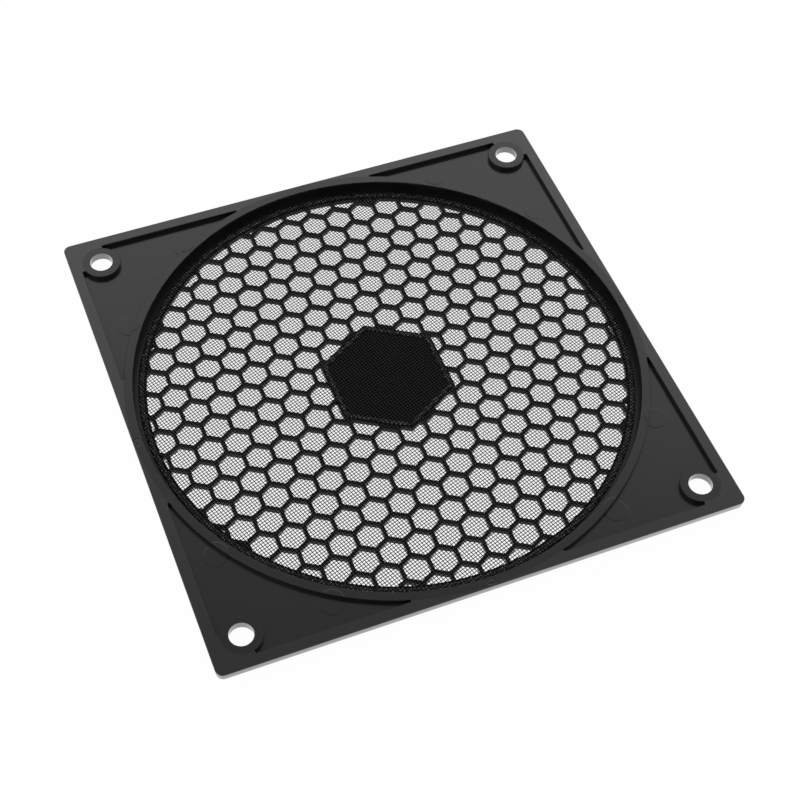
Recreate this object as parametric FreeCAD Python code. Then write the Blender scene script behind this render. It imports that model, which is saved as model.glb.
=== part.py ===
# Guard and dust filter for a square axial fan, lying on its outer face with its fan side up.
# The frame is one moulding: a square flange with a screw hole in each corner, round a shallow
# dish whose floor is a honeycomb grille. A woven net lies over the grille, inside the dish, and is
# sealed down by two raised beads: one along its edge and one round the solid hub.
# Millimetres. The origin is under the middle of the dish, and +Z points at the fan.

import FreeCAD, Part
import math
import os

# What the fan sets
FAN_SIDE = 120.0            # side of the square flange
HOLE_INSET = 7.5            # from the sides to a screw hole, which puts the holes 105 apart
SCREW_HOLE_D = 5.3          # clears a fan screw

# Heights
GUARD_H = 4.0               # from the dish's outer face to the face that meets the fan
FLANGE_T = 1.9              # thickness of the flange at its rim
GRILLE_T = 1.1              # depth of the grille's ribs and thickness of the hub

# Flange
CORNER_R = 1.75             # outer corners of the square
RIM_W = 2.55                # raised rim along the four sides
POCKET_DEPTH = 1.2          # the corner pockets, down from the raised faces
PARTING_DEPTH = 0.75        # the outer wall stands upright down to the parting line
PARTING_DRAFT = 0.12        # how far it leans in below that
POCKET_TIP_FILL = 1.2       # how far the narrow tips of the pockets are filled in
BOSS_D = 9.0                # raised round about each screw hole
PAD_W = 9.0                 # solid square that joins each boss to its corner
EDGE_BREAK = 0.15           # small chamfer on the raised edges

# Dish
DISH_MOUTH_D = 115.4        # inside of the ring
RING_W = 2.0                # raised ring round the mouth
DISH_WALL_T = 1.6           # wall of the dish where it leaves the flange
DISH_TAPER = 1.3            # how far the outside draws in down to the outer face

# Honeycomb grille
CELL_PITCH = 6.3            # from cell to cell along a row
RIB_W = 0.9
LEDGE_W = 2.9               # closed band between the outermost openings and the dish wall
HUB_FLATS = 27.1            # the solid hexagon in the middle, from flat to flat
SMALLEST_OPENING = 0.6      # area below which a cell that an edge cuts off is left closed

# Net, with one bar drawn for each bundle of its threads
THREAD_PITCH = 0.685
THREADS_PER_BAR = 26        # threads that one bar stands for, so also the pitch of the bars
BAR_W = 1.0
NET_TURN = 17.3             # degrees from the flange's side
NET_EDGE_GAP = 1.2          # from the net's edge to the dish wall
NET_T = 0.15
RIDGE_W = 0.5               # warp that stands up along the bars of one direction
RIDGE_H = 0.1
SMALLEST_MESH = 4.0         # area below which a mesh at the edge is left closed
SEAL_W = 0.95               # beads that seal the net down
SEAL_H = 0.2                # how far they stand above the net
SEAL_INSET = 0.45           # from the hub's edge to its bead

# Derived sizes
HALF_SIDE = FAN_SIDE / 2
HALF_HOLES = HALF_SIDE - HOLE_INSET
RIM_INSIDE = HALF_SIDE - RIM_W
MOUTH_R = DISH_MOUTH_D / 2
RING_R = MOUTH_R + RING_W
FIELD_R = MOUTH_R - LEDGE_W
FLANGE_Z = GUARD_H - FLANGE_T
PARTING_Z = GUARD_H - PARTING_DEPTH
POCKET_Z = GUARD_H - POCKET_DEPTH
NET_TOP_Z = GRILLE_T + NET_T
NET_R = MOUTH_R - NET_EDGE_GAP
CUT_PAST = 1.0              # how far a cutting shape runs past a face

UP = FreeCAD.Vector(0, 0, 1)
CENTRE = FreeCAD.Vector(0, 0, 0)


def cylinder(radius, low, high, x=0.0, y=0.0):
    return Part.makeCylinder(radius, high - low, FreeCAD.Vector(x, y, low))


def cone(low_radius, high_radius, low, high, x=0.0, y=0.0):
    return Part.makeCone(low_radius, high_radius, high - low, FreeCAD.Vector(x, y, low))


def block(x_size, y_size, low, high, x=0.0, y=0.0):
    corner = FreeCAD.Vector(x - x_size / 2, y - y_size / 2, low)
    return Part.makeBox(x_size, y_size, high - low, corner)


def rounded_square(side, radius, z):
    """Closed outline of a square with round corners, at height z."""
    half = side / 2
    flat = half - radius
    bulge = flat + radius * math.sqrt(0.5)
    edges = []
    for quarter in range(4):
        turn = FreeCAD.Rotation(UP, 90 * quarter)
        side_start = turn.multVec(FreeCAD.Vector(half, -flat, z))
        side_end = turn.multVec(FreeCAD.Vector(half, flat, z))
        corner_middle = turn.multVec(FreeCAD.Vector(bulge, bulge, z))
        corner_end = turn.multVec(FreeCAD.Vector(flat, half, z))
        edges.append(Part.makeLine(side_start, side_end))
        edges.append(Part.Arc(side_end, corner_middle, corner_end).toShape())
    return Part.Wire(edges)


def hexagon_prism(flats, x, y, low, high):
    """Upright prism on a hexagon that has a corner towards +Y."""
    radius = flats / math.sqrt(3)
    corners = []
    for k in range(7):
        angle = math.radians(90 + 60 * k)
        corners.append(FreeCAD.Vector(x + radius * math.cos(angle), y + radius * math.sin(angle), low))
    return Part.Face(Part.makePolygon(corners)).extrude(UP * (high - low))


def at_each_corner(make):
    """What make(x, y) returns, for the four screw holes."""
    return [make(x, y) for x in (-HALF_HOLES, HALF_HOLES) for y in (-HALF_HOLES, HALF_HOLES)]


def flange():
    """Square plate, upright down to the parting line and drafted below it."""
    outline = rounded_square(FAN_SIDE, CORNER_R, PARTING_Z)
    lower = rounded_square(FAN_SIDE - 2 * PARTING_DRAFT, CORNER_R - PARTING_DRAFT, FLANGE_Z)
    upright = Part.Face(outline).extrude(UP * PARTING_DEPTH)
    drafted = Part.makeLoft([lower, outline], True, True)
    return upright.fuse(drafted)


def dish():
    """Solid shallow cone that hangs below the flange."""
    high_radius = MOUTH_R + DISH_WALL_T
    return cone(high_radius - DISH_TAPER, high_radius, 0, FLANGE_Z)


def ring_meets_rim():
    """From the middle of a side to where the ring's outside crosses the rim's inside."""
    return math.sqrt(max(RING_R ** 2 - RIM_INSIDE ** 2, 0.0))


def pockets(low, high):
    """The four three-sided spaces that rim, ring and bosses leave between them."""
    room = block(2 * RIM_INSIDE, 2 * RIM_INSIDE, low, high)
    bridge = 2 * (ring_meets_rim() + POCKET_TIP_FILL)
    bridges = [block(bridge, FAN_SIDE, low, high), block(FAN_SIDE, bridge, low, high)]
    pad_centre = HALF_SIDE - PAD_W / 2
    pads = [block(PAD_W, PAD_W, low, high, sx * pad_centre, sy * pad_centre)
            for sx in (-1, 1) for sy in (-1, 1)]
    bosses = at_each_corner(lambda x, y: cylinder(BOSS_D / 2, low, high, x, y))
    return room.cut([cylinder(RING_R, low, high)] + bridges + bosses + pads)


def cell_centres():
    """Centres of the honeycomb's cells. The middle of the guard is the middle of a rib."""
    row_pitch = CELL_PITCH * math.sqrt(3) / 2
    reach = int(FIELD_R / row_pitch) + 2
    for row in range(-reach, reach + 1):
        offset = 0.5 if row % 2 == 0 else 0.0
        for column in range(-reach, reach + 1):
            yield (column + offset) * CELL_PITCH, row * row_pitch


def grille_openings():
    """The honeycomb's openings, cut short by the hub and by the ledge round the dish."""
    low = -CUT_PAST
    high = GRILLE_T + CUT_PAST
    flats = CELL_PITCH - RIB_W
    corner_reach = flats / math.sqrt(3)
    hub = hexagon_prism(HUB_FLATS, 0, 0, low, high)
    field = cylinder(FIELD_R, low, high).cut(hub)
    whole = []
    cut_short = []
    for x, y in cell_centres():
        away = math.hypot(x, y)
        if away > FIELD_R + corner_reach:
            continue
        cell = hexagon_prism(flats, x, y, low, high)
        inside = away + corner_reach < FIELD_R and away - corner_reach > HUB_FLATS / math.sqrt(3)
        (whole if inside else cut_short).append(cell)
    trimmed = Part.makeCompound(cut_short).common(field).Solids
    smallest = SMALLEST_OPENING * (high - low)
    return whole + [cell for cell in trimmed if cell.Volume > smallest]


def frame():
    """The whole moulding: flange and dish, then what is cut into them."""
    over = GUARD_H + CUT_PAST
    body = flange().fuse(dish()).removeSplitter()
    body = body.cut([cylinder(MOUTH_R, GRILLE_T, over), pockets(POCKET_Z, over)]).removeSplitter()
    raised_edges = [e for e in body.Edges if e.BoundBox.ZMin > GUARD_H - EDGE_BREAK / 2]
    body = body.makeChamfer(EDGE_BREAK, raised_edges)
    screw_holes = at_each_corner(lambda x, y: cylinder(SCREW_HOLE_D / 2, -CUT_PAST, over, x, y))
    return body.cut(screw_holes).cut(Part.makeCompound(grille_openings()))


def warp_bars(width, low, high):
    """Parallel bars along Y that reach past the net's edge."""
    pitch = THREAD_PITCH * THREADS_PER_BAR
    reach = int(NET_R / pitch) + 1
    length = 2 * (NET_R + pitch)
    return [block(width, length, low, high, x=k * pitch) for k in range(-reach, reach + 1)]


def weft_bars(width, low, high):
    """The same bars, turned to lie along X."""
    bars = warp_bars(width, low, high)
    for bar in bars:
        bar.rotate(CENTRE, UP, 90)
    return bars


def seals():
    """Two raised beads: one along the net's edge, and one on the hub along the hub's edge."""
    top = NET_TOP_Z + SEAL_H
    edge_bead = cylinder(NET_R, GRILLE_T, top).cut(cylinder(NET_R - SEAL_W, GRILLE_T, top))
    outer_flats = HUB_FLATS - 2 * SEAL_INSET
    inside = hexagon_prism(outer_flats - 2 * SEAL_W, 0, 0, GRILLE_T, top)
    return [edge_bead, hexagon_prism(outer_flats, 0, 0, GRILLE_T, top).cut(inside)]


def filter_net():
    """Round of net that lies on the ribs, the hub and the ledge: a thin wall with meshes, ridges
    and seals."""
    bars = warp_bars(BAR_W, GRILLE_T, NET_TOP_Z) + weft_bars(BAR_W, GRILLE_T, NET_TOP_Z)
    meshes = cylinder(FIELD_R, GRILLE_T, NET_TOP_Z).cut(bars).Solids
    open_meshes = [mesh for mesh in meshes if mesh.Volume > SMALLEST_MESH * NET_T]
    ridge_top = NET_TOP_Z + RIDGE_H
    ridges = cylinder(FIELD_R, NET_TOP_Z, ridge_top).common(warp_bars(RIDGE_W, NET_TOP_Z, ridge_top))
    net = cylinder(NET_R, GRILLE_T, NET_TOP_Z).cut(open_meshes).fuse(ridges)
    net.rotate(CENTRE, UP, NET_TURN)
    return net.fuse(seals()).removeSplitter()


def main():
    os.makedirs("parts", exist_ok=True)
    frame().exportStep("parts/frame.step")
    filter_net().exportStep("parts/filter_net.step")


if __name__ == "__main__":
    main()
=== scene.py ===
# Looks of a fan guard with a woven dust net, put on over its CAD model.
# Lengths are in metres, in the CAD's own frame: the guard lies on its outer face, and +Z points
# at the fan.

import math

import bmesh
import bpy
from bpy.props import FloatProperty, FloatVectorProperty, PointerProperty
from mathutils import Euler, Matrix, Vector


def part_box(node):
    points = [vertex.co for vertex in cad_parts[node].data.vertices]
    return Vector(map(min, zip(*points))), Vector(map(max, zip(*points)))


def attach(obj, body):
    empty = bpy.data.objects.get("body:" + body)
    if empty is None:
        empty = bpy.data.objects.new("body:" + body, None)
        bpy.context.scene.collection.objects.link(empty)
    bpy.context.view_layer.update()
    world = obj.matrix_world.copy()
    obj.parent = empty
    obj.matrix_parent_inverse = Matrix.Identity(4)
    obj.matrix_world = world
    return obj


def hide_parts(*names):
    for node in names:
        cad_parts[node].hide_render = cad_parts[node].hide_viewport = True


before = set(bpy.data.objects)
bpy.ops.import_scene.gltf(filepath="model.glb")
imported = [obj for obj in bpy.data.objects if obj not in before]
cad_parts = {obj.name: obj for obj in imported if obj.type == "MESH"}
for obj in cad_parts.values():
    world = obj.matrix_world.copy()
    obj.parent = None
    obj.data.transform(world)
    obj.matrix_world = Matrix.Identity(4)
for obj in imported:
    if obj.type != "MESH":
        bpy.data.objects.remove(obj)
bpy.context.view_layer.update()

bl_info = {
    "name": "Fan guard looks",
    "version": (1, 0, 0),
    "blender": (4, 5, 0),
    "location": "View3D > Sidebar > Fan guard",
    "description": "Dresses a moulded fan guard with its plastic, its woven net and a plain studio",
    "category": "Object",
}

MM = 0.001
NET_LOW, NET_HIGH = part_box("filter_net")
FRAME_LOW, FRAME_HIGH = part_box("frame")

# Places on the moulding
DISH_MOUTH_R = 57.7 * MM
RING_R = 59.7 * MM
LEDGE_R = 54.8 * MM
HUB_EDGE = (13.5 * MM, 15.0 * MM)
SCREW_PLACE = 52.5 * MM
SCREW_HOLE_R = 2.65 * MM
BOSS_R = 4.5 * MM
CHAMFER_DEPTH = 0.15 * MM
POCKET_Z = 2.8 * MM
FLANGE_Z = 2.1 * MM

# How near to an edge counts as on it
EDGE_PLAY = 0.05 * MM

# A circle of this many sides looks round
ROUND_SIDES = 360


# Sizes and finishes that a user may change


class MouldingSettings(bpy.types.PropertyGroup):
    """The black plastic moulding."""

    colour: FloatVectorProperty(
        name="Colour",
        description="Colour of the plastic itself, without its gloss",
        subtype="COLOR",
        size=3,
        min=0.0,
        max=1.0,
        default=(0.0050, 0.0053, 0.0052),
    )
    roughness: FloatProperty(
        name="Roughness",
        description="Mean roughness of the spark-eroded faces",
        default=0.22,
        min=0.0,
        max=1.0,
        subtype="FACTOR",
    )
    grain_size: FloatProperty(
        name="Grain size",
        description="Size of one pit of the spark-eroded grain",
        default=0.30 * MM,
        unit="LENGTH",
        precision=5,
    )
    grain_depth: FloatProperty(
        name="Grain depth",
        description="Depth of the spark-eroded grain",
        default=0.0025 * MM,
        unit="LENGTH",
        precision=6,
    )
    mark_diameter: FloatProperty(
        name="Ejector mark",
        description="Diameter of the round marks that the mould's ejector pins leave",
        default=5.3 * MM,
        unit="LENGTH",
        precision=5,
    )
    mark_far: FloatProperty(
        name="Ejector mark, far place",
        description="Distance of a mark from the middle, towards the side that it is nearest to",
        default=51.6 * MM,
        unit="LENGTH",
        precision=5,
    )
    mark_near: FloatProperty(
        name="Ejector mark, near place",
        description="Distance of a mark from the middle, along that side",
        default=32.6 * MM,
        unit="LENGTH",
        precision=5,
    )
    mark_height: FloatProperty(
        name="Ejector mark height",
        description="How far a mark stands proud of the plastic",
        default=0.035 * MM,
        unit="LENGTH",
        precision=6,
    )
    gate_place: FloatProperty(
        name="Gate place",
        description="Distance from the middle to the trimmed gate at the middle of each side",
        default=58.9 * MM,
        unit="LENGTH",
        precision=5,
    )
    gate_depth: FloatProperty(
        name="Gate depth",
        description="Depth of the dent round each trimmed gate",
        default=0.03 * MM,
        unit="LENGTH",
        precision=6,
    )
    grille_colour: FloatVectorProperty(
        name="Grille colour",
        description="Colour of the dull plastic inside the dish",
        subtype="COLOR",
        size=3,
        min=0.0,
        max=1.0,
        default=(0.0042, 0.0045, 0.0044),
    )
    # Paler than the plastic's own colour, as painted reflection of the bright floor on the polished walls
    wall_colour_with_painted_sheen: FloatVectorProperty(
        name="Wall colour",
        description="Colour of the polished side walls and screw holes, without their gloss",
        subtype="COLOR",
        size=3,
        min=0.0,
        max=1.0,
        default=(0.0300, 0.0310, 0.0310),
    )


class NetSettings(bpy.types.PropertyGroup):
    """The woven net that is bonded over the grille."""

    colour: FloatVectorProperty(
        name="Colour",
        description="Colour of the monofilament",
        subtype="COLOR",
        size=3,
        min=0.0,
        max=1.0,
        default=(0.0040, 0.0043, 0.0042),
    )
    pitch: FloatProperty(
        name="Pitch",
        description="From one thread to the next",
        default=0.685 * MM,
        unit="LENGTH",
        precision=5,
    )
    thread: FloatProperty(
        name="Thread",
        description="Diameter of one thread",
        default=0.19 * MM,
        unit="LENGTH",
        precision=5,
    )
    crimp: FloatProperty(
        name="Crimp",
        description="How far a thread rises and falls where it crosses the others",
        default=0.06 * MM,
        unit="LENGTH",
        precision=5,
    )
    turn: FloatProperty(
        name="Turn",
        description="Angle from the guard's side to the weft",
        default=math.radians(17.3),
        subtype="ANGLE",
    )
    edge_seal_width: FloatProperty(
        name="Edge bead width",
        description="Width of the melted bead that holds the net down along its edge",
        default=1.5 * MM,
        unit="LENGTH",
        precision=5,
    )
    hub_seal_width: FloatProperty(
        name="Hub bead width",
        description="Width of the melted bead that holds the net down on the hub",
        default=1.15 * MM,
        unit="LENGTH",
        precision=5,
    )
    seal_height: FloatProperty(
        name="Seal height",
        description="How far the beads stand above the plastic that they are melted to",
        default=0.32 * MM,
        unit="LENGTH",
        precision=5,
    )
    seal_hub_flats: FloatProperty(
        name="Hub bead",
        description="From flat to flat of the hub's bead, at the middle of its width",
        default=25.25 * MM,
        unit="LENGTH",
        precision=5,
    )
    seal_bumps: FloatProperty(
        name="Seal bumps",
        description="Height of the bumps that the melted threads leave",
        default=0.16 * MM,
        unit="LENGTH",
        precision=6,
    )


class StageSettings(bpy.types.PropertyGroup):
    """Floor, light and camera."""

    floor_side: FloatProperty(
        name="Floor", description="Side of the square floor", default=6.0, unit="LENGTH"
    )
    floor_colour: FloatVectorProperty(
        name="Floor colour",
        description="Colour of the floor",
        subtype="COLOR",
        size=3,
        min=0.0,
        max=1.0,
        default=(0.80, 0.80, 0.80),
    )
    floor_white: FloatProperty(
        name="Floor white",
        description="Share of plain white in what the camera sees of the floor",
        default=0.98,
        min=0.0,
        max=1.0,
        subtype="FACTOR",
    )
    room_light: FloatProperty(
        name="Room light",
        description="Light from all round",
        default=0.75,
        min=0.0,
    )
    overhead_light: FloatProperty(
        name="Overhead light",
        description="Brightness of the room overhead as the guard's gloss shows it, where white is 1",
        default=0.35,
        min=0.0,
    )
    back_power: FloatProperty(
        name="Back lamp",
        description="Power of the wide lamp behind the guard",
        default=1.4,
        min=0.0,
        unit="POWER",
    )
    left_power: FloatProperty(
        name="Left lamp",
        description="Power of the square lamp at the guard's left",
        default=2.0,
        min=0.0,
        unit="POWER",
    )
    camera_place: FloatVectorProperty(
        name="Camera place",
        description="Where the camera stands",
        size=3,
        subtype="TRANSLATION",
        default=(-0.089703, -0.202087, 0.298967),
    )
    camera_heading: FloatProperty(
        name="Heading",
        description="Turn of the view from +Y towards +X",
        default=math.radians(23.55),
        subtype="ANGLE",
    )
    camera_pitch: FloatProperty(
        name="Pitch",
        description="Angle of the view below the horizon",
        default=math.radians(54.28),
        subtype="ANGLE",
    )
    camera_roll: FloatProperty(
        name="Roll",
        description="Turn of the camera about its line of sight",
        default=math.radians(2.874),
        subtype="ANGLE",
    )
    lens: FloatProperty(
        name="Lens",
        description="Focal length on a sensor 36 mm wide",
        default=72.955,
        unit="CAMERA",
    )
    shift: FloatProperty(
        name="Shift",
        description="Sideways shift of the picture, as a share of its width",
        default=0.025,
    )


# Node trees


class Tree:
    """Short calls for building one node tree."""

    def __init__(self, tree):
        self.tree = tree

    def add(self, kind, inputs=None, **settings):
        """A new node. An input is a value or another node's output, by the socket's name or number."""
        node = self.tree.nodes.new(kind)
        for name, value in settings.items():
            setattr(node, name, value)
        for name, value in (inputs or {}).items():
            self.feed(node.inputs[name], value)
        return node

    def feed(self, socket, value):
        """Link another node's output to a socket, or set the socket's own value."""
        if isinstance(value, bpy.types.NodeSocket):
            self.tree.links.new(value, socket)
        else:
            socket.default_value = value

    def calc(self, operation, *values):
        """Output of a Math node."""
        node = self.add("ShaderNodeMath", operation=operation)
        for socket, value in zip(node.inputs, values):
            self.feed(socket, value)
        return node.outputs[0]

    def ramp(self, value, low, high, to_low=0.0, to_high=1.0):
        """Output of a Map Range node that goes smoothly from to_low to to_high."""
        node = self.add("ShaderNodeMapRange", interpolation_type="SMOOTHSTEP")
        for name, number in zip(("Value", "From Min", "From Max", "To Min", "To Max"),
                                (value, low, high, to_low, to_high)):
            self.feed(node.inputs[name], number)
        return node.outputs["Result"]


def new_group(name, kind, inputs, outputs):
    """An empty node group with its sockets, and the Tree, the inputs and the output node in it."""
    group = bpy.data.node_groups.new(name, kind)
    for socket_name, socket_kind, default in inputs:
        socket = group.interface.new_socket(socket_name, in_out="INPUT", socket_type=socket_kind)
        if default is not None:
            socket.default_value = default
    for socket_name, socket_kind in outputs:
        group.interface.new_socket(socket_name, in_out="OUTPUT", socket_type=socket_kind)
    tree = Tree(group)
    return group, tree, tree.add("NodeGroupInput").outputs, tree.add("NodeGroupOutput").inputs


def grain_group():
    """Fine grain and slow changes of gloss, as on spark-eroded or drawn plastic."""
    group, tree, given, made = new_group(
        "plastic_grain",
        "ShaderNodeTree",
        [("Place", "NodeSocketVector", None), ("Size", "NodeSocketFloat", 0.3 * MM),
         ("Depth", "NodeSocketFloat", 0.0025 * MM), ("Roughness", "NodeSocketFloat", 0.3),
         ("Spread", "NodeSocketFloat", 0.06), ("Patch", "NodeSocketFloat", 20 * MM)],
        [("Roughness", "NodeSocketFloat"), ("Height", "NodeSocketFloat"),
         ("Patches", "NodeSocketFloat")],
    )
    fine = tree.add("ShaderNodeTexNoise", {"Vector": given["Place"], "Detail": 2.0, "Roughness": 0.6,
                                           "Scale": tree.calc("DIVIDE", 1.0, given["Size"])})
    slow = tree.add("ShaderNodeTexNoise", {"Vector": given["Place"], "Detail": 3.0, "Roughness": 0.55,
                                           "Scale": tree.calc("DIVIDE", 1.0, given["Patch"])})
    around = tree.calc("SUBTRACT", slow.outputs["Fac"], 0.5)
    tree.feed(made["Roughness"], tree.calc("MULTIPLY_ADD", around, given["Spread"], given["Roughness"]))
    tree.feed(made["Height"], tree.calc("MULTIPLY", fine.outputs["Fac"], given["Depth"]))
    tree.feed(made["Patches"], slow.outputs["Fac"])
    return group


def scuff_group():
    """Sparse hair-thin scuffs, each patch of them in its own direction. 1 on a scuff, 0 elsewhere."""
    group, tree, given, made = new_group(
        "fine_scuffs",
        "ShaderNodeTree",
        [("Place", "NodeSocketVector", None), ("Patch", "NodeSocketFloat", 9 * MM),
         ("Width", "NodeSocketFloat", 0.12 * MM), ("Share", "NodeSocketFloat", 0.2)],
        [("Scuffs", "NodeSocketFloat")],
    )
    per_patch = tree.calc("DIVIDE", 1.0, given["Patch"])
    cells = tree.add("ShaderNodeTexVoronoi", {"Vector": given["Place"], "Scale": per_patch})
    chance = tree.add("ShaderNodeSeparateColor", {0: cells.outputs["Color"]}).outputs
    turned = tree.add("ShaderNodeVectorRotate", {"Vector": given["Place"], "Angle": tree.calc(
        "MULTIPLY", chance["Red"], 2 * math.pi)}, rotation_type="Z_AXIS").outputs[0]
    stretch = (0.03, 1.0, 0.03)
    width_in_noise, crest, crest_top = 0.4, 0.66, 0.70
    drawn_out = tree.add("ShaderNodeVectorMath", {0: turned, 1: stretch}, operation="MULTIPLY")
    lines = tree.add("ShaderNodeTexNoise",
                     {"Vector": drawn_out.outputs[0], "Detail": 1.0,
                      "Scale": tree.calc("DIVIDE", width_in_noise, given["Width"])})
    line = tree.ramp(lines.outputs["Fac"], crest, crest_top)
    here = tree.calc("LESS_THAN", chance["Green"], given["Share"])
    tree.feed(made["Scuffs"], tree.calc("MULTIPLY", line, here))
    return group


def new_material(name):
    """A material with its Tree, its Principled BSDF and its Object coordinates."""
    material = bpy.data.materials.new(name)
    material.use_nodes = True
    tree = Tree(material.node_tree)
    shader = material.node_tree.nodes["Principled BSDF"]
    place = tree.add("ShaderNodeTexCoord").outputs["Object"]
    return material, tree, shader, place


def tinted(tree, colour, amount):
    """The colour, made lighter or darker by the factor amount."""
    scaled = tree.add("ShaderNodeVectorMath", operation="SCALE")
    scaled.inputs[0].default_value = colour
    tree.feed(scaled.inputs["Scale"], amount)
    return scaled.outputs["Vector"]


def add_grain(tree, place, size, depth, roughness, spread, patch):
    """The grain group with its values, placed in a material."""
    grain = tree.add("ShaderNodeGroup", node_tree=bpy.data.node_groups["plastic_grain"])
    for name, value in (("Place", place), ("Size", size), ("Depth", depth), ("Roughness", roughness),
                        ("Spread", spread), ("Patch", patch)):
        tree.feed(grain.inputs[name], value)
    return grain.outputs


def distance(tree, first, second, first_place=0.0, second_place=0.0, first_reach=1.0, second_reach=1.0):
    """Distance from a place to the point (first, second), in shares of the two reaches."""
    squares = []
    for value, place, reach in ((first, first_place, first_reach), (second, second_place, second_reach)):
        offset = tree.calc("DIVIDE", tree.calc("SUBTRACT", value, place), reach)
        squares.append(tree.calc("POWER", offset, 2.0))
    return tree.calc("SQRT", tree.calc("ADD", *squares))


def feed_shader(tree, shader, colour, shade, roughness, height):
    """Feed a shader its colour times shade, its roughness and its relief, a height in metres."""
    tree.feed(shader.inputs["Base Color"], tinted(tree, colour, shade))
    tree.feed(shader.inputs["Roughness"], roughness)
    bump = tree.add("ShaderNodeBump", {"Height": height, "Distance": 1.0})
    tree.feed(shader.inputs["Normal"], bump.outputs["Normal"])


def satin_material(settings):
    """Satin black plastic, with the marks of eight ejector pins and of a trimmed gate on each side."""
    material, tree, shader, place = new_material("black_plastic")
    grain = add_grain(tree, place, size=settings.grain_size, depth=settings.grain_depth,
                      roughness=settings.roughness, spread=0.06, patch=35 * MM)
    scuffs = tree.add("ShaderNodeGroup", {"Place": place},
                      node_tree=bpy.data.node_groups["fine_scuffs"]).outputs["Scuffs"]

    # The flange is folded on its two middle lines and its diagonals, so one mark stands for eight
    axes = tree.add("ShaderNodeSeparateXYZ", {0: place}).outputs
    along = tree.calc("ABSOLUTE", axes["X"])
    across = tree.calc("ABSOLUTE", axes["Y"])
    far = tree.calc("MAXIMUM", along, across)
    near = tree.calc("MINIMUM", along, across)

    # Pins and gates leave their marks on the fan's side only
    margin = 0.2 * MM
    fan_side = tree.ramp(axes["Z"], FLANGE_Z + margin, POCKET_Z - margin)

    # The pins leave low round pads, each with a fine line round it
    pad_radius = settings.mark_diameter / 2
    pad_edge = 0.11 * MM
    from_pad = distance(tree, far, near, settings.mark_far, settings.mark_near)
    pad = tree.ramp(from_pad, pad_radius - pad_edge, pad_radius + pad_edge, settings.mark_height, 0.0)
    off_line = tree.calc("ABSOLUTE", tree.calc("SUBTRACT", from_pad, pad_radius))
    pad_line = tree.ramp(off_line, 0.0, 2 * pad_edge, 1.0, 0.0)

    # The gates are trimmed flush and leave an oval dent
    oval = (0.55 * MM, 0.8 * MM)
    oval_edge = 0.45
    from_gate = distance(tree, far, near, settings.gate_place, 0.0, *oval)
    off_oval = tree.calc("ABSOLUTE", tree.calc("SUBTRACT", from_gate, 1.0))
    gate_line = tree.ramp(off_oval, 0.0, oval_edge, 1.0, 0.0)
    gate = tree.calc("MULTIPLY", gate_line, -settings.gate_depth)

    # Rim and corners are a little glossier than the ring, the bosses and what lies deeper in
    rim_coat = 0.3
    shader.inputs["Coat Roughness"].default_value = 0.2
    raised = tree.ramp(axes["Z"], POCKET_Z + 0.3 * MM, FRAME_HIGH.z - CHAMFER_DEPTH)
    from_axis = distance(tree, far, near)
    past_ring = tree.ramp(from_axis, RING_R - EDGE_PLAY, RING_R + EDGE_PLAY)
    from_hole = distance(tree, far, near, SCREW_PLACE, SCREW_PLACE)
    past_boss = tree.ramp(from_hole, BOSS_R - EDGE_PLAY, BOSS_R + EDGE_PLAY)
    rim = tree.calc("MULTIPLY", tree.calc("MULTIPLY", raised, past_ring), past_boss)
    tree.feed(shader.inputs["Coat Weight"], tree.calc("MULTIPLY", rim, rim_coat))

    # The fine lines round the pads and gate dents are painted darker, as painted shade at their small
    # steps, and scuffs are paler and rougher
    line_painted_shade, scuff_paleness, scuff_roughness = 0.45, 0.5, 0.12
    patches = tree.ramp(grain["Patches"], 0.25, 0.75, 0.85, 1.15)
    painted_shade_outlines = tree.calc("MULTIPLY", tree.calc("MAXIMUM", pad_line, gate_line), fan_side)
    lines = tree.calc("MULTIPLY_ADD", painted_shade_outlines, -line_painted_shade, 1.0)
    shade = tree.calc("MULTIPLY_ADD", scuffs, scuff_paleness, tree.calc("MULTIPLY", patches, lines))
    roughness = tree.calc("MULTIPLY_ADD", scuffs, scuff_roughness, grain["Roughness"])
    height = tree.calc("MULTIPLY_ADD", tree.calc("ADD", pad, gate), fan_side, grain["Height"])
    feed_shader(tree, shader, settings.colour, shade, roughness, height)
    return material


def grille_material(settings):
    """Dull black plastic of the hub and the inside of the dish, painted paler on the bonded rib tops as a
    painted highlight.
    """
    material, tree, shader, place = new_material("grille_plastic")
    shader.inputs["Specular IOR Level"].default_value = 0.28
    grain = add_grain(tree, place, size=0.22 * MM, depth=0.004 * MM, roughness=0.32, spread=0.10,
                      patch=6 * MM)
    # The rib tops are painted paler, as a painted highlight where their round tops catch light
    rib_painted_highlight = 4.5
    ledge_edge = 0.2 * MM
    axes = tree.add("ShaderNodeSeparateXYZ", {0: place}).outputs
    from_axis = distance(tree, axes["X"], axes["Y"])
    past_hub = tree.ramp(from_axis, *HUB_EDGE)
    before_ledge = tree.ramp(from_axis, LEDGE_R - ledge_edge, LEDGE_R + ledge_edge, 1.0, 0.0)
    painted_rib_highlight = tree.calc("MULTIPLY_ADD", tree.calc("MULTIPLY", past_hub, before_ledge), rib_painted_highlight, 1.0)
    shade = tree.calc("MULTIPLY", tree.ramp(grain["Patches"], 0.3, 0.7, 0.8, 1.2), painted_rib_highlight)
    feed_shader(tree, shader, settings.grille_colour, shade, grain["Roughness"], grain["Height"])
    return material


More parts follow.
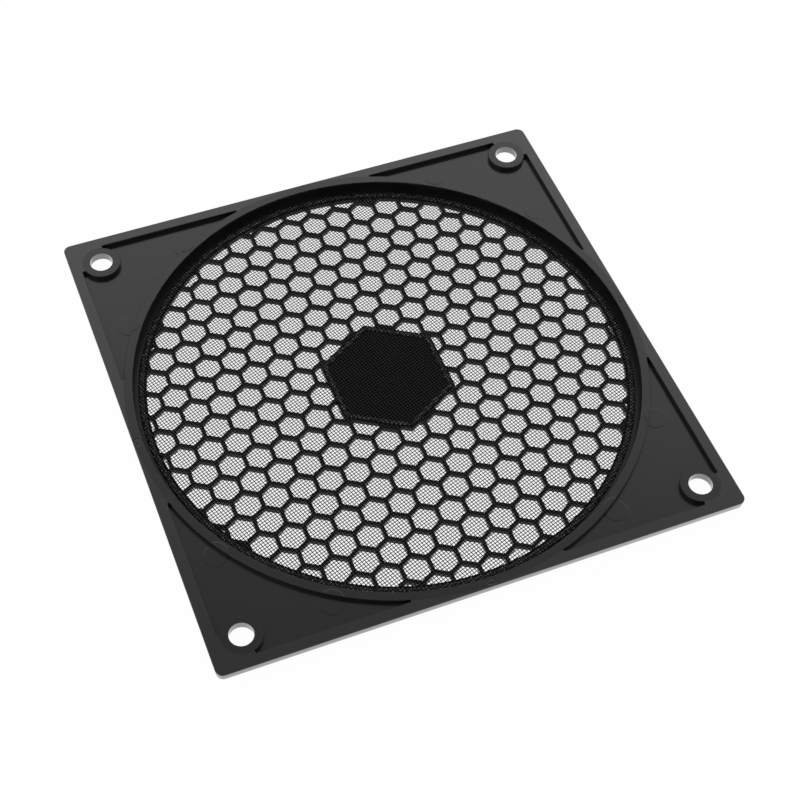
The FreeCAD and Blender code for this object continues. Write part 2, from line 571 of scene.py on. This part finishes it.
def wall_material(settings):
    """Side walls and screw holes: drawn over polished steel, so far glossier than the faces, and painted
    paler than the plastic as painted reflection of the bright floor.
    """
    material, tree, shader, place = new_material("polished_plastic")
    shader.inputs["Specular IOR Level"].default_value = 0.7
    shader.inputs["IOR"].default_value = 2.0
    shader.inputs["Coat Weight"].default_value = 1.0
    shader.inputs["Coat Roughness"].default_value = 0.12
    grain = add_grain(tree, place, size=0.5 * MM, depth=0.0015 * MM, roughness=0.2, spread=0.12,
                      patch=9 * MM)
    streak_width = 0.35 * MM
    stretch = (1.0, 1.0, 0.06)
    drawn_out = tree.add("ShaderNodeVectorMath", {0: place, 1: stretch}, operation="MULTIPLY")
    streaks = tree.add("ShaderNodeTexNoise", {"Vector": drawn_out.outputs[0], "Scale": 1 / streak_width,
                                              "Detail": 2.0})
    shade = tree.ramp(streaks.outputs["Fac"], 0.3, 0.7, 0.9, 1.1)
    feed_shader(tree, shader, settings.wall_colour_with_painted_sheen, shade, grain["Roughness"], grain["Height"])
    return material


def thread_material(settings):
    """Drawn black monofilament: smooth, with a faint unevenness from thread to thread."""
    material, tree, shader, place = new_material("net_thread")
    shader.inputs["Specular IOR Level"].default_value = 0.03
    grain = add_grain(tree, place, size=0.12 * MM, depth=0.0015 * MM, roughness=0.27, spread=0.16,
                      patch=1.4 * MM)
    shade = tree.ramp(grain["Patches"], 0.3, 0.7, 0.75, 1.25)
    feed_shader(tree, shader, settings.colour, shade, grain["Roughness"], grain["Height"])
    return material


def weave_print(tree, place, pitch, turn):
    """1 where two threads of the net cross, 0 halfway between them."""
    along_net = tree.add("ShaderNodeVectorRotate", {"Vector": place, "Angle": tree.calc(
        "MULTIPLY", turn, -1.0)}, rotation_type="Z_AXIS").outputs[0]
    axes = tree.add("ShaderNodeSeparateXYZ", {0: along_net}).outputs
    waves = []
    for axis in ("X", "Y"):
        turns = tree.calc("DIVIDE", axes[axis], pitch)
        waves.append(tree.calc("COSINE", tree.calc("MULTIPLY", turns, 2 * math.pi)))
    return tree.calc("MULTIPLY_ADD", tree.calc("ADD", *waves), 0.25, 0.5)


def seal_material(settings):
    """Threads melted into the plastic: lumpy, with small pale painted glints where they crossed."""
    material, tree, shader, place = new_material("melted_net")
    shader.inputs["Specular IOR Level"].default_value = 0.08
    grain = add_grain(tree, place, size=0.20 * MM, depth=0.03 * MM, roughness=0.42, spread=0.3,
                      patch=0.5 * MM)
    # Where the threads crossed, the colour is painted paler, as painted glints
    painted_glint_paleness, melt_shade = 27.0, 0.9
    painted_glints = tree.ramp(weave_print(tree, place, settings.pitch, settings.turn), 0.48, 0.9)
    broken = tree.ramp(grain["Patches"], 0.42, 0.58)
    shade = tree.calc("MULTIPLY_ADD", tree.calc("MULTIPLY", painted_glints, broken), painted_glint_paleness, melt_shade)
    feed_shader(tree, shader, settings.colour, shade, grain["Roughness"], grain["Height"])
    return material


# Pieces


# The moulding's finishes, in the order of its materials
SATIN, GRILLE, POLISHED = range(3)


def finish_of(face):
    """Which of the three finishes a face of the moulding has."""
    along, across = abs(face.center.x), abs(face.center.y)
    is_wall = abs(face.normal.z) < 0.3
    corner_reach = 0.7 * MM
    at_side = max(along, across) > FRAME_HIGH.x - corner_reach
    at_hole = math.hypot(along - SCREW_PLACE, across - SCREW_PLACE) < SCREW_HOLE_R + EDGE_PLAY
    if is_wall and (at_side or at_hole):
        return POLISHED
    in_dish = math.hypot(along, across) < DISH_MOUTH_R + EDGE_PLAY
    faces_down = face.normal.z < -0.5
    return GRILLE if in_dish and not faces_down else SATIN


def is_flat(face):
    """True for a level face."""
    return abs(face.normal.z) > 0.99


def is_chamfer(face):
    """True for the small chamfers round the raised faces."""
    return 0.5 < face.normal.z < 0.9 and face.center.z > FRAME_HIGH.z - CHAMFER_DEPTH


def mean_normal(normals, like, widest):
    """Mean of those normals that lie within the angle widest of like, or like itself."""
    close = [normal for normal in normals if normal.dot(like) > math.cos(widest)]
    return sum(close, Vector()).normalized() if close else like


def shade_edges(mesh):
    """Flat faces stay flat, walls are smooth along their curves, and the chamfers shade as if round."""
    wall_turn = math.radians(35)
    chamfer_turn = math.radians(40)
    top = FRAME_HIGH.z - 0.01 * MM
    walls_at = {}
    for face in mesh.polygons:
        if not is_flat(face) and not is_chamfer(face):
            for vertex in face.vertices:
                walls_at.setdefault(vertex, []).append(face.normal.copy())
    normals = []
    for face in mesh.polygons:
        for vertex in face.vertices:
            walls = walls_at.get(vertex, [])
            if is_flat(face):
                normal = face.normal.copy()
            elif not is_chamfer(face):
                normal = mean_normal(walls, face.normal.copy(), wall_turn)
            elif mesh.vertices[vertex].co.z > top:
                normal = Vector((0.0, 0.0, 1.0))
            else:
                level = Vector((face.normal.x, face.normal.y, 0.0)).normalized()
                normal = mean_normal(walls, level, chamfer_turn)
            normals.append(normal)
    mesh.shade_smooth()
    mesh.normals_split_custom_set(normals)


def moulding_mesh():
    """The CAD's moulding with its corners joined, its edges shaded and its finishes told apart."""
    work = bmesh.new()
    work.from_mesh(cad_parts["frame"].data)
    same_point = 0.001 * MM
    bmesh.ops.remove_doubles(work, verts=work.verts, dist=same_point)
    mesh = bpy.data.meshes.new("guard_moulding")
    work.to_mesh(mesh)
    work.free()
    old_normals = mesh.attributes.get("custom_normal")
    if old_normals:
        mesh.attributes.remove(old_normals)
    for face in mesh.polygons:
        face.material_index = finish_of(face)
    shade_edges(mesh)
    return mesh


def threads_tree():
    """Geometry nodes for all threads of one direction, woven up and down, cut to a round."""
    group, tree, given, made = new_group(
        "woven_threads",
        "GeometryNodeTree",
        [("Radius", "NodeSocketFloat", 56.5 * MM), ("Pitch", "NodeSocketFloat", 0.685 * MM),
         ("Thread", "NodeSocketFloat", 0.19 * MM), ("Crimp", "NodeSocketFloat", 0.06 * MM),
         ("Height", "NodeSocketFloat", 1.25 * MM), ("Turn", "NodeSocketFloat", 0.0),
         ("Phase", "NodeSocketFloat", 0.0), ("Material", "NodeSocketMaterial", None)],
        [("Geometry", "NodeSocketGeometry")],
    )
    # Straight polylines along Y, one pitch apart, with a point at each crossing
    each_way = tree.calc("CEIL", tree.calc("DIVIDE", given["Radius"], given["Pitch"]))
    count = tree.calc("MULTIPLY_ADD", each_way, 2.0, 1.0)
    start = tree.calc("MULTIPLY", tree.calc("MULTIPLY", each_way, given["Pitch"]), -1.0)
    lines = []
    for axis in ("X", "Y"):
        first = tree.add("ShaderNodeCombineXYZ", {axis: start}).outputs[0]
        step = tree.add("ShaderNodeCombineXYZ", {axis: given["Pitch"]}).outputs[0]
        line = tree.add("GeometryNodeMeshLine",
                        {"Count": count, "Start Location": first, "Offset": step})
        lines.append(line.outputs["Mesh"])
    rows = tree.add("GeometryNodeInstanceOnPoints", {"Points": lines[0], "Instance": lines[1]})
    flat = tree.add("GeometryNodeRealizeInstances", {0: rows.outputs[0]}).outputs[0]

    # Points outside the round are removed, all but the first, which moves in onto its edge
    place = tree.add("GeometryNodeInputPosition").outputs[0]
    axes = tree.add("ShaderNodeSeparateXYZ", {0: place}).outputs
    x_squared = tree.calc("MULTIPLY", axes["X"], axes["X"])
    radius_squared = tree.calc("MULTIPLY", given["Radius"], given["Radius"])
    room = tree.calc("MAXIMUM", tree.calc("SUBTRACT", radius_squared, x_squared), 0.0)
    half_length = tree.calc("SQRT", room)
    outside = tree.add("FunctionNodeCompare", {0: tree.calc("ABSOLUTE", axes["Y"]),
                                               1: tree.calc("ADD", half_length, given["Pitch"])},
                       data_type="FLOAT", operation="GREATER_THAN").outputs[0]
    kept = tree.add("GeometryNodeDeleteGeometry", {"Geometry": flat, "Selection": outside}).outputs[0]
    other_end = tree.calc("MULTIPLY", half_length, -1.0)
    held = tree.calc("MINIMUM", tree.calc("MAXIMUM", axes["Y"], other_end), half_length)

    # A thread passes over one crossing and under the next
    ways = [tree.calc("ROUND", tree.calc("DIVIDE", axes[axis], given["Pitch"])) for axis in ("X", "Y")]
    crossing = tree.calc("ADD", *ways)
    side = tree.calc("FLOORED_MODULO", tree.calc("ADD", crossing, given["Phase"]), 2.0)
    rise = tree.calc("MULTIPLY_ADD", side, 2.0, -1.0)
    level = tree.calc("MULTIPLY_ADD", rise, given["Crimp"], given["Height"])
    woven_place = tree.add("ShaderNodeCombineXYZ", {"X": axes["X"], "Y": held, "Z": level}).outputs[0]
    woven = tree.add("GeometryNodeSetPosition", {"Geometry": kept, "Position": woven_place}).outputs[0]

    # Four-sided threads, upright and smooth
    curves = tree.add("GeometryNodeMeshToCurve", {0: woven}).outputs[0]
    upright = tree.add("GeometryNodeSetCurveNormal", {"Curve": curves}).outputs[0]
    section = tree.add("GeometryNodeCurvePrimitiveCircle",
                       {"Resolution": 4, "Radius": tree.calc("DIVIDE", given["Thread"], 2.0)})
    tubes = tree.add("GeometryNodeCurveToMesh", {"Curve": upright, "Profile Curve": section.outputs[0],
                                                 "Fill Caps": True}).outputs[0]
    smooth = tree.add("GeometryNodeSetShadeSmooth", {"Geometry": tubes}).outputs[0]
    turn = tree.add("ShaderNodeCombineXYZ", {"Z": given["Turn"]}).outputs[0]
    turned = tree.add("GeometryNodeTransform", {"Geometry": smooth, "Rotation": turn}).outputs[0]
    whole = tree.add("GeometryNodeRealizeInstances", {0: turned}).outputs[0]
    finished = tree.add("GeometryNodeSetMaterial", {"Geometry": whole, "Material": given["Material"]})
    tree.feed(made["Geometry"], finished.outputs[0])
    return group


def bead_tree():
    """Geometry nodes for one melted bead, round or many-sided, with the weave printed in its top."""
    group, tree, given, made = new_group(
        "melted_bead",
        "GeometryNodeTree",
        [("Sides", "NodeSocketInt", 6), ("Corner Radius", "NodeSocketFloat", 14.6 * MM),
         ("Width", "NodeSocketFloat", 1.15 * MM), ("Height", "NodeSocketFloat", 0.32 * MM),
         ("Level", "NodeSocketFloat", 1.1 * MM), ("Bumps", "NodeSocketFloat", 0.16 * MM),
         ("Pitch", "NodeSocketFloat", 0.685 * MM), ("Turn", "NodeSocketFloat", 0.3),
         ("Step", "NodeSocketFloat", 0.15 * MM), ("Seed", "NodeSocketFloat", 3.0),
         ("Material", "NodeSocketMaterial", None)],
        [("Geometry", "NodeSocketGeometry")],
    )
    # A flattened tube along the outline. A hexagon's corner points towards +Y
    outline = tree.add("GeometryNodeCurvePrimitiveCircle", {"Resolution": given["Sides"],
                                                            "Radius": given["Corner Radius"]}).outputs[0]
    quarter = tree.add("GeometryNodeTransform",
                       {"Geometry": outline, "Rotation": (0.0, 0.0, math.pi / 2)}).outputs[0]
    rounded = tree.add("GeometryNodeFilletCurve", {"Curve": quarter, "Radius": given["Width"],
                                                   "Count": 4, "Limit Radius": True},
                       mode="POLY").outputs[0]
    path = tree.add("GeometryNodeResampleCurve", {"Curve": rounded, "Length": given["Step"]},
                    mode="LENGTH").outputs[0]
    upright = tree.add("GeometryNodeSetCurveNormal", {"Curve": path}, mode="Z_UP").outputs[0]
    section = tree.add("GeometryNodeCurvePrimitiveCircle", {"Resolution": 14, "Radius": 1.0}).outputs[0]
    section_size = tree.add("ShaderNodeCombineXYZ", {"X": tree.calc("DIVIDE", given["Width"], 2.0),
                                                     "Y": given["Height"], "Z": 1.0}).outputs[0]
    oval = tree.add("GeometryNodeTransform", {"Geometry": section, "Scale": section_size}).outputs[0]
    tube = tree.add("GeometryNodeCurveToMesh", {"Curve": upright, "Profile Curve": oval}).outputs[0]

    # Lumps of the melt, and a small rise where each thread crossed another
    lump_share = 2.2
    place = tree.add("GeometryNodeInputPosition").outputs[0]
    seed = tree.add("ShaderNodeCombineXYZ", {"Z": given["Seed"]}).outputs[0]
    seeded = tree.add("ShaderNodeVectorMath", {0: place, 1: seed}, operation="ADD").outputs[0]
    lumps = tree.add("ShaderNodeTexNoise", {"Vector": seeded, "Detail": 2.0, "Roughness": 0.7,
                                            "Scale": tree.calc("DIVIDE", 1.0, given["Pitch"])}).outputs[0]
    crossings = weave_print(tree, place, given["Pitch"], given["Turn"])
    rise = tree.calc("MULTIPLY_ADD", tree.calc("SUBTRACT", lumps, 0.5), lump_share,
                     tree.calc("SUBTRACT", crossings, 0.5))

    # Only its top is bumped, and its underside is flat, just inside the plastic
    top_from = 0.05 * MM
    underside = -0.02 * MM
    axes = tree.add("ShaderNodeSeparateXYZ", {0: place}).outputs
    on_top = tree.calc("GREATER_THAN", axes["Z"], top_from)
    lift = tree.calc("MULTIPLY", tree.calc("MULTIPLY", rise, given["Bumps"]), on_top)
    lifted = tree.calc("MAXIMUM", tree.calc("ADD", axes["Z"], lift), underside)
    level = tree.calc("ADD", lifted, given["Level"])
    bumped = tree.add("ShaderNodeCombineXYZ", {"X": axes["X"], "Y": axes["Y"], "Z": level}).outputs[0]
    shaped = tree.add("GeometryNodeSetPosition", {"Geometry": tube, "Position": bumped}).outputs[0]
    smooth = tree.add("GeometryNodeSetShadeSmooth", {"Geometry": shaped}).outputs[0]
    whole = tree.add("GeometryNodeRealizeInstances", {0: smooth}).outputs[0]
    finished = tree.add("GeometryNodeSetMaterial", {"Geometry": whole, "Material": given["Material"]})
    tree.feed(made["Geometry"], finished.outputs[0])
    return group


def made_by_nodes(name, group, values):
    """A plain mesh object from a geometry node group, with the modifier gone."""
    piece = bpy.data.objects.new(name, bpy.data.meshes.new(name))
    bpy.context.scene.collection.objects.link(piece)
    modifier = piece.modifiers.new("nodes", "NODES")
    modifier.node_group = group
    for item in group.interface.items_tree:
        if item.item_type == "SOCKET" and item.in_out == "INPUT":
            modifier[item.identifier] = values[item.name]
    evaluated = piece.evaluated_get(bpy.context.evaluated_depsgraph_get())
    mesh = bpy.data.meshes.new_from_object(evaluated)
    mesh.name = name
    piece.modifiers.clear()
    piece.data = mesh
    return piece


# Operators


class GUARD_OT_moulding(bpy.types.Operator):
    """Replace the CAD's moulding by a smooth copy in its three finishes of black plastic"""

    bl_idname = "guard.moulding"
    bl_label = "Moulding"

    def execute(self, context):
        piece = bpy.data.objects.new("guard_moulding", moulding_mesh())
        context.scene.collection.objects.link(piece)
        for make in (satin_material, grille_material, wall_material):
            piece.data.materials.append(make(context.scene.guard_moulding))
        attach(piece, "root")
        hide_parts("frame")
        return {"FINISHED"}


class GUARD_OT_net(bpy.types.Operator):
    """Weave the net's warp and weft over the grille"""

    bl_idname = "guard.net"
    bl_label = "Woven net"

    def execute(self, context):
        net = context.scene.guard_net
        group = threads_tree()
        values = {
            "Radius": NET_HIGH.x,
            "Pitch": net.pitch,
            "Thread": net.thread,
            "Crimp": net.crimp,
            "Height": NET_LOW.z + net.crimp + net.thread / 2,
            "Material": thread_material(net),
        }
        for name, quarter, phase in (("net_warp", 0.0, 0.0), ("net_weft", math.pi / 2, 1.0)):
            values["Turn"] = net.turn + quarter
            values["Phase"] = phase
            piece = made_by_nodes(name, group, values)
            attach(piece, "root")
            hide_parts("filter_net")
        return {"FINISHED"}


class GUARD_OT_seals(bpy.types.Operator):
    """Melt the net down along its edge and round the hub"""

    bl_idname = "guard.seals"
    bl_label = "Seals"

    def execute(self, context):
        net = context.scene.guard_net
        group = bead_tree()
        steps_per_thread = 4.5
        past_net = 0.2 * MM
        values = {
            "Height": net.seal_height,
            "Level": NET_LOW.z,
            "Bumps": net.seal_bumps,
            "Pitch": net.pitch,
            "Turn": net.turn,
            "Step": net.pitch / steps_per_thread,
            "Material": seal_material(net),
        }
        edge_radius = NET_HIGH.x + past_net - net.edge_seal_width / 2
        hub_radius = net.seal_hub_flats / math.sqrt(3)
        for name, sides, radius, width, seed in (
            ("edge_seal", ROUND_SIDES, edge_radius, net.edge_seal_width, 3.0),
            ("hub_seal", 6, hub_radius, net.hub_seal_width, 5.0),
        ):
            values["Sides"] = sides
            values["Width"] = width
            values["Corner Radius"] = radius
            values["Seed"] = seed
            piece = made_by_nodes(name, group, values)
            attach(piece, "root")
            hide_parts("filter_net")
        return {"FINISHED"}


class GUARD_OT_stage(bpy.types.Operator):
    """Lay the floor, set the lights and put the camera where the photograph was taken"""

    bl_idname = "guard.stage"
    bl_label = "Stage"

    def execute(self, context):
        stage = context.scene.guard_stage
        make_floor(stage)
        make_room(context.scene, stage)
        make_lamps(stage)
        make_camera(context.scene, stage)
        return {"FINISHED"}


def make_floor(stage):
    """A pale floor just under the guard, which stays white to the camera and keeps a soft shadow."""
    half = stage.floor_side / 2
    gap = 0.02 * MM
    low = FRAME_LOW.z - gap
    mesh = bpy.data.meshes.new("floor")
    corners = [(-half, -half, low), (half, -half, low), (half, half, low), (-half, half, low)]
    mesh.from_pydata(corners, [], [(0, 1, 2, 3)])
    floor = bpy.data.objects.new("floor", mesh)
    bpy.context.scene.collection.objects.link(floor)
    material = bpy.data.materials.new("floor")
    material.use_nodes = True
    material.node_tree.nodes.clear()
    tree = Tree(material.node_tree)
    pale = tree.add("ShaderNodeBsdfDiffuse", {"Color": (*stage.floor_colour, 1.0)})
    white = tree.add("ShaderNodeEmission", {"Color": (1.0, 1.0, 1.0, 1.0), "Strength": 1.0})
    share = tree.calc("MULTIPLY", seen_ray(tree), stage.floor_white)
    mix = tree.add("ShaderNodeMixShader", {0: share, 1: pale.outputs[0], 2: white.outputs[0]})
    tree.add("ShaderNodeOutputMaterial", {"Surface": mix.outputs[0]})
    mesh.materials.append(material)


def seen_ray(tree):
    """1 for a ray that shows the background: from the camera, off gloss or through glass."""
    rays = tree.add("ShaderNodeLightPath").outputs
    seen = tree.calc("MAXIMUM", rays["Is Camera Ray"], rays["Is Glossy Ray"])
    return tree.calc("MAXIMUM", seen, rays["Is Transmission Ray"])


def make_room(scene, stage):
    """Even light from all round. What is seen of the room is white low down and darker overhead."""
    world = bpy.data.worlds.new("room")
    world.use_nodes = True
    world.node_tree.nodes.clear()
    tree = Tree(world.node_tree)
    towards = tree.add("ShaderNodeTexCoord").outputs["Generated"]
    up = tree.add("ShaderNodeSeparateXYZ", {0: towards}).outputs["Z"]
    wall_top, overhead = 0.70, 0.97
    room = tree.ramp(up, wall_top, overhead, 1.0, stage.overhead_light)
    level = tree.add("ShaderNodeMix", {"Factor": seen_ray(tree), "A": stage.room_light, "B": room})
    light = tree.add("ShaderNodeBackground",
                     {"Color": (1.0, 1.0, 1.0, 1.0), "Strength": level.outputs[0]})
    tree.add("ShaderNodeOutputWorld", {"Surface": light.outputs[0]})
    scene.world = world


def add_lamp(name, width, depth, power, place):
    """A soft rectangular lamp that points at the origin."""
    lamp = bpy.data.lights.new(name, "AREA")
    lamp.shape = "RECTANGLE"
    lamp.size = width
    lamp.size_y = depth
    lamp.energy = power
    holder = bpy.data.objects.new(name, lamp)
    bpy.context.scene.collection.objects.link(holder)
    holder.location = place
    holder.rotation_mode = "QUATERNION"
    holder.rotation_quaternion = Vector(place).to_track_quat("Z", "Y")


def make_lamps(stage):
    """A wide soft lamp behind the guard, whose gloss it brightens, and a square one at its left."""
    add_lamp("back_lamp", width=1.6, depth=0.64, power=stage.back_power, place=(0.45, 1.02, 1.02))
    add_lamp("left_lamp", width=0.8, depth=0.8, power=stage.left_power, place=(-0.9, -0.2, 0.9))


def make_camera(scene, stage):
    """The camera, at the photograph's own place, heading and lens."""
    view = bpy.data.cameras.new("camera")
    view.sensor_width = 36.0
    view.lens = stage.lens
    view.shift_x = stage.shift
    view.clip_start = 10 * MM
    camera = bpy.data.objects.new("camera", view)
    scene.collection.objects.link(camera)
    level_turn = Euler((math.pi / 2 - stage.camera_pitch, 0.0, -stage.camera_heading)).to_matrix()
    roll = Matrix.Rotation(stage.camera_roll, 3, "Z")
    camera.matrix_world = Matrix.Translation(stage.camera_place) @ (level_turn @ roll).to_4x4()
    scene.camera = camera


class GUARD_PT_panel(bpy.types.Panel):
    """The guard's settings and the buttons that make its pieces"""

    bl_label = "Fan guard"
    bl_idname = "GUARD_PT_panel"
    bl_space_type = "VIEW_3D"
    bl_region_type = "UI"
    bl_category = "Fan guard"

    def draw(self, context):
        scene = context.scene
        for settings, operator in ((scene.guard_moulding, GUARD_OT_moulding),
                                   (scene.guard_net, GUARD_OT_net),
                                   (scene.guard_stage, GUARD_OT_stage)):
            box = self.layout.box()
            for name in settings.bl_rna.properties.keys():
                if name not in ("rna_type", "name"):
                    box.prop(settings, name)
            box.operator(operator.bl_idname)
            if operator is GUARD_OT_net:
                box.operator(GUARD_OT_seals.bl_idname)


CLASSES = (MouldingSettings, NetSettings, StageSettings, GUARD_OT_moulding, GUARD_OT_net,
           GUARD_OT_seals, GUARD_OT_stage, GUARD_PT_panel)


def register():
    for kind in CLASSES:
        bpy.utils.register_class(kind)
    bpy.types.Scene.guard_moulding = PointerProperty(type=MouldingSettings)
    bpy.types.Scene.guard_net = PointerProperty(type=NetSettings)
    bpy.types.Scene.guard_stage = PointerProperty(type=StageSettings)


def unregister():
    del bpy.types.Scene.guard_stage
    del bpy.types.Scene.guard_net
    del bpy.types.Scene.guard_moulding
    for kind in reversed(CLASSES):
        bpy.utils.unregister_class(kind)


def main():
    register()
    bpy.context.scene.view_settings.view_transform = "Standard"
    grain_group()
    scuff_group()
    bpy.ops.guard.stage()
    bpy.ops.guard.moulding()
    bpy.ops.guard.net()
    bpy.ops.guard.seals()


if __name__ == "__main__":
    main()
